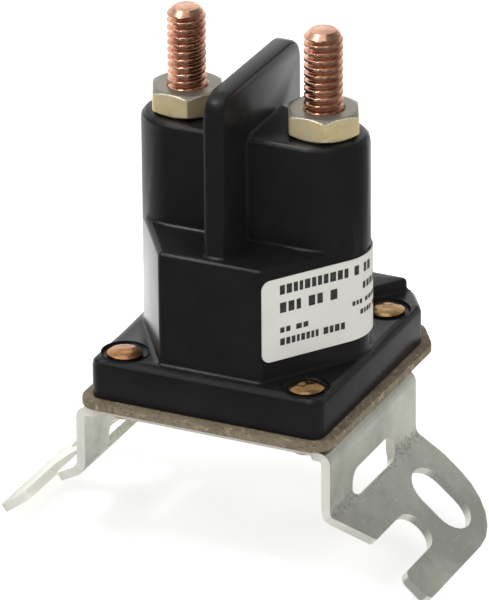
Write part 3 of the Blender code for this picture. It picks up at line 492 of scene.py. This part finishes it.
def zinc_sheet():
    """Zinc plated sheet: cloudy spangle, rolling lines along Y, scattered fine scratches, and
    small dints where the legs bend into the feet."""
    recipe = Recipe("zinc_plated_sheet")
    cloud = recipe.noise(90.0, 5.0, 0.6)
    broad = recipe.noise(46.0, 5.0, 0.65)
    grain = recipe.noise(1300.0, 4.0, 0.7)
    lines = recipe.noise(420.0, 3.0, 0.6, recipe.stretched((6.0, 0.25, 6.0)))
    one_way = recipe.stretched((9.0, 0.7, 9.0), (0.5, 0.3, 0.8))
    other_way = recipe.stretched((0.6, 9.0, 7.0), (0.2, 0.9, 0.4))
    thin_one = recipe.ramp(recipe.noise(330.0, 2.0, 0.5, one_way), (0.66, 0.0), (0.70, 1.0))
    thin_two = recipe.ramp(recipe.noise(260.0, 2.0, 0.5, other_way), (0.67, 0.0), (0.71, 1.0))
    scratches = recipe.mix(1.0, thin_one, thin_two, "ADD")
    colour = recipe.ramp(cloud, (0.3, (0.86, 0.865, 0.75)), (0.7, (0.97, 0.97, 0.86)))
    colour = recipe.mix(recipe.span(broad, 0.0, 0.85, 0.40, 0.62), colour, (0.575, 0.60, 0.525))
    colour = recipe.mix(recipe.span(scratches, 0.0, 0.5), colour, (0.95, 0.95, 0.90))
    half_band = 1.6 * MM
    across_bend = recipe.span(recipe.along("Z"), 0.0, 1.0, BEND_Z - half_band, BEND_Z + half_band)
    in_bend = recipe.ramp(across_bend, (0.02, 0.0), (0.30, 1.0), (0.62, 1.0), (0.95, 0.0))
    pits = recipe.ramp(recipe.noise(1500.0, 3.0, 0.7), (0.50, 0.0), (0.62, 1.0))
    dints = recipe.mix(1.0, pits, in_bend, "MULTIPLY")
    colour = recipe.mix(recipe.span(dints, 0.0, 0.6), colour, (0.34, 0.35, 0.31))
    rough = recipe.sum((recipe.span(cloud, 0.26, 0.40, 0.3, 0.7), 1.0), (scratches, 0.12))
    relief = recipe.sum((lines, 0.35), (scratches, -0.5), (cloud, 0.4), (grain, 0.35),
                        (dints, -1.2))
    recipe.bump(relief, 0.06 * MM, 0.8)
    return recipe.put(Base_Color=colour, Metallic=1.0, Roughness=rough)


def sheared_edge():
    """Cut edge of the sheet: pale and grainy, with painted shade greying the cut edges that face
    the front, low on the right foot.
    """
    recipe = Recipe("sheared_edge")
    grain = recipe.noise(2400.0, 3.0, 0.7)
    cloud = recipe.noise(300.0, 3.0)
    colour = recipe.ramp(cloud, (0.3, (0.84, 0.82, 0.74)), (0.7, (0.94, 0.92, 0.84)))
    # Painted shade: cut edges that face the front, below about 10 mm on the right foot, are greyed
    # toward a dark grey.
    low = recipe.span(recipe.along("Z"), 0.9, 0.0, 10.0 * MM, 13.0 * MM)
    right = recipe.span(recipe.along("X"), 0.0, 1.0, 0.0, 10.0 * MM)
    front = recipe.span(recipe.facing("Y"), 1.0, 0.0, -0.95, -0.75)
    low_right = recipe.mix(1.0, low, right, "MULTIPLY")
    front_painted_shade = recipe.mix(1.0, low_right, front, "MULTIPLY")
    colour = recipe.mix(front_painted_shade, colour, (0.36, 0.36, 0.33))
    recipe.bump(grain, 0.08 * MM, 0.6)
    return recipe.put(Base_Color=colour, Metallic=0.25, Roughness=recipe.span(grain, 0.30, 0.5))


def yellow_zinc():
    """Yellow chromate over zinc: straw clouds and a paler film, a painted highlight on the chamfers
    and painted shade on the top.
    """
    recipe = Recipe("yellow_zinc")
    cloud = recipe.noise(240.0, 4.0, 0.6)
    film = recipe.noise(210.0, 4.0, 0.6)
    upward = recipe.facing("Z")
    # Painted highlight: faces tilted part way up, as the chamfers are, are paled almost to white.
    chamfer_painted_highlight = recipe.ramp(upward, (0.12, 0.0), (0.30, 1.0), (0.62, 1.0), (0.80, 0.0))
    # Painted shade: faces that point up, as the top does, are greyed.
    top_painted_shade = recipe.ramp(upward, (0.66, 0.0), (0.84, 1.0))
    colour = recipe.ramp(cloud, (0.25, (0.80, 0.66, 0.36)), (0.5, (0.95, 0.79, 0.42)),
                         (0.75, (0.97, 0.84, 0.53)))
    colour = recipe.mix(recipe.span(film, 0.0, 0.4, 0.4, 0.7), colour, (0.80, 0.73, 0.60))
    colour = recipe.mix(chamfer_painted_highlight, colour, (0.98, 0.95, 0.86))
    colour = recipe.mix(top_painted_shade, colour, (0.27, 0.25, 0.21))
    recipe.bump(recipe.noise(1500.0, 2.0), 0.01 * MM, 0.4)
    return recipe.put(Base_Color=colour, Metallic=0.6,
                      Roughness=recipe.span(cloud, 0.26, 0.38, 0.3, 0.7))


def copper(name="copper"):
    """Copper with duller and rougher tarnish in clouds, and a fine grain."""
    recipe = Recipe(name)
    cloud = recipe.noise(420.0, 4.0, 0.6)
    colour = recipe.ramp(cloud, (0.3, (0.58, 0.28, 0.18)), (0.65, (0.96, 0.56, 0.39)))
    recipe.bump(recipe.noise(1700.0, 2.0), 0.02 * MM, 0.3)
    return recipe.put(Base_Color=colour, Metallic=1.0,
                      Roughness=recipe.span(cloud, 0.28, 0.18, 0.3, 0.7))


def rivet_brass():
    """Brass with darker streaks where the tool turned, and a coppery blush on the left rivets."""
    recipe = Recipe("rivet_brass")
    cloud = recipe.noise(330.0, 3.0, 0.6)
    tool_way = recipe.stretched((1.0, 0.3, 1.0), (0.0, 0.0, 0.6))
    streak = recipe.noise(700.0, 3.0, 0.6, tool_way)
    colour = recipe.ramp(cloud, (0.3, (0.34, 0.18, 0.085)), (0.55, (0.47, 0.30, 0.13)),
                         (0.8, (0.57, 0.43, 0.22)))
    colour = recipe.mix(recipe.span(streak, 0.0, 0.5, 0.5, 0.75), colour, (0.26, 0.12, 0.05))
    on_left = recipe.span(recipe.along("X"), 0.55, 0.0, -14 * MM, -6 * MM)
    colour = recipe.mix(on_left, colour, (0.50, 0.20, 0.10))
    recipe.bump(recipe.sum((cloud, 1.0), (streak, 0.5)), 0.10 * MM, 0.5)
    return recipe.put(Base_Color=colour, Metallic=1.0,
                      Roughness=recipe.span(streak, 0.15, 0.30, 0.3, 0.8))


def label_paper():
    """Matte film label: slightly warm white with faint fibres."""
    recipe = Recipe("white_label")
    fibre = recipe.noise(1300.0, 3.0, 0.6)
    cloud = recipe.noise(80.0, 2.0)
    colour = recipe.ramp(cloud, (0.3, (0.66, 0.655, 0.60)), (0.7, (0.71, 0.705, 0.655)))
    recipe.bump(fibre, 0.02 * MM, 0.3)
    return recipe.put(Base_Color=colour, Roughness=0.5, Specular_IOR_Level=0.4)


def label_ink():
    """Dark print with slightly uneven coverage."""
    recipe = Recipe("label_ink")
    cover = recipe.noise(1600.0, 3.0)
    colour = recipe.ramp(cover, (0.35, (0.018, 0.018, 0.017)), (0.8, (0.060, 0.058, 0.054)))
    return recipe.put(Base_Color=colour, Roughness=0.55)


def plain_metal(name, colour, roughness, streaks=(1.0, 1.0, 8.0)):
    """Plain metal with drawn lines and faint clouds."""
    recipe = Recipe(name)
    cloud = recipe.noise(200.0, 3.0)
    lines = recipe.noise(900.0, 2.0, vector=recipe.stretched(streaks))
    darker = tuple(0.75 * share for share in colour)
    recipe.bump(lines, 0.03 * MM, 0.4)
    return recipe.put(Base_Color=recipe.ramp(cloud, (0.3, darker), (0.7, colour)), Metallic=1.0,
                      Roughness=recipe.span(lines, roughness - 0.08, roughness + 0.08))


def plain_polymer(name, colour, roughness):
    """Plain moulded or pressed insulation with faint mottling."""
    recipe = Recipe(name)
    cloud = recipe.noise(300.0, 3.0)
    darker = tuple(0.7 * share for share in colour)
    recipe.bump(recipe.noise(1800.0, 2.0), 0.04 * MM, 0.4)
    return recipe.put(Base_Color=recipe.ramp(cloud, (0.3, darker), (0.7, colour)),
                      Roughness=roughness)


def enamelled_wire():
    """Enamelled copper wire laid in turns one above the other."""
    recipe = Recipe("enamelled_wire")
    wave = recipe.node("TexWave", Vector=recipe.place, Scale=620.0, Distortion=0.4, Detail=1.0)
    wave.bands_direction = "Z"
    turns = wave.outputs["Fac"]
    colour = recipe.ramp(turns, (0.1, (0.16, 0.045, 0.015)), (0.8, (0.55, 0.20, 0.08)))
    recipe.bump(turns, 0.2 * MM, 0.8)
    return recipe.put(Base_Color=colour, Metallic=0.7, Roughness=0.3)


def wrap(along, out):
    """Point at a distance along the body's right side, and out from it, seen from above.

    The way starts at the front face's right corner, runs straight along the chamfer to where it
    touches the end's circle, goes round that circle, and runs straight along the back chamfer.
    """
    to_centre = np.array([HALF_PITCH - FACE_HALF_WIDTH, BODY_HALF_DEPTH])
    span = math.hypot(*to_centre)
    lean = math.atan2(to_centre[1], to_centre[0]) - math.asin(END_RADIUS / span)
    chamfer = math.sqrt(span ** 2 - END_RADIUS ** 2)
    sweep = math.pi - 2 * lean
    swept = np.clip((along - chamfer) / END_RADIUS, 0.0, sweep)
    heading = lean + swept
    before = np.minimum(along, chamfer)
    after = np.maximum(along - chamfer - sweep * END_RADIUS, 0.0)
    x = FACE_HALF_WIDTH + before * math.cos(lean) + END_RADIUS * (np.sin(heading) - math.sin(lean))
    y = STUD_ROW_Y - BODY_HALF_DEPTH + before * math.sin(lean)
    y = y + END_RADIUS * (math.cos(lean) - np.cos(heading))
    x = x + after * np.cos(heading) + out * np.sin(heading)
    y = y + after * np.sin(heading) - out * np.cos(heading)
    return x, y


def label(made_of):
    """Rounded blank wrapped on the body: each row's ends draw in by the corner's quarter circle."""
    low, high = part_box("label")
    rows, columns = 40, 120
    tall = high.z - low.z
    row = tall * (1.0 - np.cos(math.pi * np.linspace(0.0, 1.0, rows))) / 2
    reach = np.clip(LABEL_CORNER - np.minimum(row, tall - row), 0.0, LABEL_CORNER)
    inset = (LABEL_CORNER - np.sqrt(LABEL_CORNER ** 2 - reach ** 2))[:, None]
    across = np.linspace(0.0, 1.0, columns)[None, :]
    along = LABEL_START + inset + across * (LABEL_LENGTH - 2 * inset)
    layers = []
    for out in (LABEL_BACK, LABEL_FRONT):
        x, y = wrap(along, out)
        layers.append(np.stack([x, y, low.z + row[:, None] + 0.0 * along], axis=-1))
    count = rows * columns
    inner = [face[::-1] for face in grid_faces(rows, columns, wrap_columns=False)]
    outer = grid_faces(rows, columns, wrap_columns=False, start=count)
    edge = list(range(columns))
    edge += [row * columns + columns - 1 for row in range(1, rows)]
    edge += [(rows - 1) * columns + column for column in range(columns - 2, -1, -1)]
    edge += [row * columns for row in range(rows - 2, 0, -1)]
    walls = [[one, two, two + count, one + count] for one, two in zip(edge, edge[1:] + edge[:1])]
    piece = add_mesh("wrapped_label", np.stack(layers), inner + outer + walls)
    dress(piece, made_of, "label")


def label_print(made_of):
    """Rows of plain dark bars on the label, each a small patch that follows the wrap."""
    low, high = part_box("label")
    tall = high.z - low.z
    draws = np.random.default_rng(7)
    narrowest, widest, gap = 0.55, 0.95, 0.28       # shares of a row's bar width
    space, space_chance = 0.7, 0.2
    steps = 4
    rows = (     # bottom and height as shares of the label's, first and last mm, bar width in mm
        (0.80, 0.115, 3.4, 21.0, 1.15), (0.575, 0.125, 3.4, 14.8, 1.45),
        (0.60, 0.085, 19.0, 23.6, 1.0), (0.43, 0.055, 16.8, 23.0, 0.8),
        (0.33, 0.065, 3.4, 8.6, 1.1), (0.295, 0.060, 18.4, 23.4, 0.75),
        (0.175, 0.085, 3.4, 15.4, 0.95))
    bars = []
    for base, size, first, last, width in rows:
        at = first
        while at < last:
            wide = width * draws.uniform(narrowest, widest)
            bars.append((at * MM, (at + wide) * MM, low.z + base * tall,
                         low.z + (base + size) * tall))
            at += wide + gap * width
            if draws.uniform() < space_chance:
                at += space * width
    start, end, bottom, top = np.array(bars).T[:, :, None]
    along = start + np.linspace(0.0, 1.0, steps) * (end - start)
    x, y = wrap(along, PRINT_FRONT)
    points = np.stack([np.stack([x, y, 0.0 * x + edge], axis=-1) for edge in (bottom, top)],
                      axis=1)
    faces = []
    for index in range(len(bars)):
        faces += grid_faces(2, steps, wrap_columns=False, start=2 * steps * index)
    piece = add_mesh("label_print", points, faces)
    piece.data.materials.append(made_of)
    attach(piece, "case")


def mark_cut_edges(piece, edge_material):
    """Give the bracket's sheared faces their own material.

    A face of the sheet points along the plate's, the leg's or the foot's normal, or between two of
    them in a bend. A sheared face points along Y, or along the sheet at a foot's tip, or up or
    down at the end of a leg's window.
    """
    least_sideways, least_down_foot, least_upright = 0.12, 0.7, 0.93
    mesh = piece.data
    mesh.materials.append(edge_material)
    normals = np.array([tuple(polygon.normal) for polygon in mesh.polygons])
    centres = np.array([tuple(polygon.center) for polygon in mesh.polygons])
    sideways = np.abs(normals[:, 1]) > least_sideways
    foot_angle = np.where(centres[:, 0] > 0.0, RIGHT_FOOT_ANGLE, LEFT_FOOT_ANGLE)
    down_foot = np.abs(normals[:, 0] * np.sign(centres[:, 0]) * np.cos(foot_angle)
                       - normals[:, 2] * np.sin(foot_angle))
    on_foot = centres[:, 2] < BEND_Z - 2.0 * MM
    on_leg = (np.abs(centres[:, 0]) > LEG_INSIDE) & ~on_foot & (centres[:, 2] < WINDOW_FOOT_Z)
    foot_ends = on_foot & (down_foot > least_down_foot)
    window_ends = on_leg & (np.abs(normals[:, 2]) > least_upright)
    ends = foot_ends | window_ends
    mesh.polygons.foreach_set("material_index", (sideways | ends).astype(np.int32))


def squeezed_spring(made_of):
    """Return spring: a merged copy of its node, shaded and given its material, with a mesh of its
    own.
    """
    piece = copy_of("return_spring", "inner_return_spring")
    dress(piece, made_of, "return_spring", 50)
    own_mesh(piece)


def dress_all():
    """Make the materials and every piece that is seen."""
    phenolic = black_phenolic()
    zinc = zinc_sheet()
    nut_metal = yellow_zinc()
    stud_metal = copper()
    brass = rivet_brass()
    fibre = gasket_fibre()
    steel = plain_metal("plain_steel", (0.50, 0.50, 0.51), 0.36)
    spring = plain_metal("spring_steel", (0.40, 0.40, 0.42), 0.30)
    tin = plain_metal("tinned_blade", (0.66, 0.65, 0.60), 0.34, (1.0, 8.0, 1.0))
    nylon = plain_polymer("natural_nylon", (0.62, 0.58, 0.46), 0.48)
    laminate = plain_polymer("brown_laminate", (0.18, 0.08, 0.035), 0.55)
    softened("housing", "moulded_housing", phenolic, 0.16 * MM, 2, 25, fillet=0.7 * MM)
    softened("gasket", "fibre_gasket", fibre, 0.18 * MM, 2, 40)
    plate = softened("bracket", "folded_bracket", zinc, 0.12 * MM, 2, 40)
    mark_cut_edges(plate, sheared_edge())
    for side in ("left", "right"):
        stud(side, stud_metal)
        nut(side, nut_metal)
        softened("coil_terminal_" + side, "blade_" + side, tin, 0.08 * MM, 2, 40)
    for number, place in enumerate(("front_left", "front_right", "back_left", "back_right")):
        rivet(place, brass, FIRST_SEED + number)
    label(label_paper())
    label_print(label_ink())
    inner = {
        "coil_frame": steel, "pole_piece": steel, "plunger": steel, "plunger_stem": steel,
        "contact_spring": spring, "retaining_clip": spring, "bobbin": nylon,
        "coil_winding": enamelled_wire(), "lower_insulator": laminate, "upper_insulator": laminate,
        "contact_bar": copper("contact_copper")}
    for node, made_of in inner.items():
        softened(node, "inner_" + node, made_of, 0.06 * MM, 1, 50)
    squeezed_spring(spring)


def camera():
    """Long lens at the photograph's angle, fitted to the object's corners that are seen in it."""
    yaw, pitch, roll = (math.radians(turn) for turn in (25.0, 24.573, -0.438))
    distance = 1.04446
    focal_pixels = 6525.79
    long_side, short_side = 600, 489
    centre_x, centre_y = 256.33, 257.77
    target = Vector((0.0, STUD_ROW_Y, FLANGE_PLANE + 19.6 * MM))
    back = Vector((math.sin(yaw) * math.cos(pitch), -math.cos(yaw) * math.cos(pitch),
                   math.sin(pitch)))
    right = Vector((math.cos(yaw), math.sin(yaw), 0.0))
    up = back.cross(right)
    across = math.cos(roll) * right + math.sin(roll) * up
    upward = math.cos(roll) * up - math.sin(roll) * right
    lens = bpy.data.cameras.new("camera")
    lens.sensor_width = 36.0
    lens.lens = focal_pixels * lens.sensor_width / long_side
    lens.shift_x = (short_side / 2 - centre_x) / long_side
    lens.shift_y = (centre_y - long_side / 2) / long_side
    lens.clip_start = 0.05
    lens.clip_end = 20.0
    holder = add_object("camera", lens)
    turn = Matrix((across, upward, back)).transposed().to_4x4()
    holder.matrix_world = Matrix.Translation(target + back * distance) @ turn
    bpy.context.scene.camera = holder


def blend(tree, factor, first, second):
    """Number between two numbers or sockets."""
    return add_node(tree, "Mix", {0: factor, 2: first, 3: second}).outputs[0]


def slope_across(tree, coordinates, way, low, high, start, end, power):
    """Strength that rises from start to end along a way that leads to the back left.

    It rises with a power of the share of the way from low to high.
    """
    along = add_node(tree, "VectorMath", {0: coordinates, 1: way}, "DOT_PRODUCT").outputs["Value"]
    share = add_node(tree, "MapRange", {"Value": along, "From Min": low, "From Max": high})
    steep = add_node(tree, "Math", {0: share.outputs[0], 1: power}, "POWER")
    return blend(tree, steep.outputs[0], start, end)


def floor():
    """Plain pale floor that reads white where no shadow falls.

    What the metal and the black mirror of it grows from a dim front to a bright back on the left,
    and fades again farther out.
    """
    half = 4.0
    under = 0.2 * MM
    glow_strength = 0.55
    corners = np.array([(-half, -half, 0.0), (half, -half, 0.0), (half, half, 0.0),
                        (-half, half, 0.0)])
    ground = add_mesh("floor", corners, [(0, 1, 2, 3)])
    ground.location.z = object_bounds()[0].z - under
    ground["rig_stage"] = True
    made = bpy.data.materials.new("pale_floor")
    made.use_nodes = True
    tree = made.node_tree
    tree.nodes.remove(tree.nodes["Principled BSDF"])
    path = add_node(tree, "LightPath", {})
    place = add_node(tree, "TexCoord", {}).outputs["Object"]
    diffuse = add_node(tree, "BsdfDiffuse", {"Color": (0.80, 0.80, 0.80, 1.0)})
    seen_glow = blend(tree, path.outputs["Is Camera Ray"], 0.0, glow_strength)
    glow = add_node(tree, "Emission", {"Strength": seen_glow})
    rise = slope_across(tree, place, (-0.7, 0.7, 0.0), -40 * MM, 110 * MM, 0.46, 3.0, 2.6)
    away = add_node(tree, "VectorMath", {0: place}, "LENGTH").outputs["Value"]
    fall = add_node(tree, "MapRange", {"Value": away, "From Min": 105 * MM, "From Max": 160 * MM,
                                       "To Min": 1.0, "To Max": 0.42})
    shaped = add_node(tree, "Math", {0: rise, 1: fall.outputs[0]}, "MULTIPLY")
    mirrored = add_node(tree, "Emission", {"Strength": shaped.outputs[0]})
    both = add_node(tree, "AddShader", {0: diffuse.outputs[0], 1: glow.outputs[0]})
    chosen = add_node(tree, "MixShader", {0: path.outputs["Is Glossy Ray"], 1: both.outputs[0],
                                          2: mirrored.outputs[0]})
    tree.links.new(chosen.outputs[0], tree.nodes["Material Output"].inputs["Surface"])
    ground.data.materials.append(made)


def surroundings():
    """White room; what is mirrored of it grows from a dim front to a bright back on the left."""
    world = bpy.data.worlds.new("room")
    world.use_nodes = True
    bpy.context.scene.world = world
    tree = world.node_tree
    direction = add_node(tree, "TexCoord", {}).outputs["Generated"]
    path = add_node(tree, "LightPath", {})
    room_light, seen_white = 0.45, 1.0
    mirrored = slope_across(tree, direction, (-0.6, 0.8, 0.0), 0.0, 0.9, 0.18, 1.1, 2.0)
    lighting = blend(tree, path.outputs["Is Glossy Ray"], room_light, mirrored)
    strength = blend(tree, path.outputs["Is Camera Ray"], lighting, seen_white)
    fill(tree, tree.nodes["Background"], {"Color": (1.0, 1.0, 1.0, 1.0), "Strength": strength})


def area(name, place, size, power, size_y=None, mirrored=True):
    """Soft rectangular lamp at a place, turned to face the object's middle."""
    middle = Vector((0.0, 0.0, 45 * MM))
    lamp = bpy.data.lights.new(name, "AREA")
    lamp.shape = "RECTANGLE"
    lamp.size = size
    lamp.size_y = size_y or size
    lamp.energy = power
    holder = add_object(name, lamp)
    holder.location = place
    holder.rotation_euler = (middle - Vector(place)).to_track_quat("-Z", "Y").to_euler()
    holder.visible_glossy = mirrored


def lights():
    """A large soft top light, of which a third is mirrored, a side and a low rim light that
    aren't mirrored, and a small lamp for the glints on edges and threads."""
    top = (-0.25, -0.15, 0.95)
    area("top_light", top, 1.0, 2.7)
    area("top_fill", top, 1.0, 5.8, mirrored=False)
    area("side_light", (0.85, -0.35, 0.40), 0.5, 3.6, mirrored=False)
    area("rim_light", (-0.75, 0.40, 0.10), 0.5, 5.0, 0.35, mirrored=False)
    area("glint_light", (-0.35, -0.28, 0.84), 0.2, 1.3)


camera()
floor()
surroundings()
lights()
dress_all()
bpy.context.scene.view_settings.view_transform = "Standard"
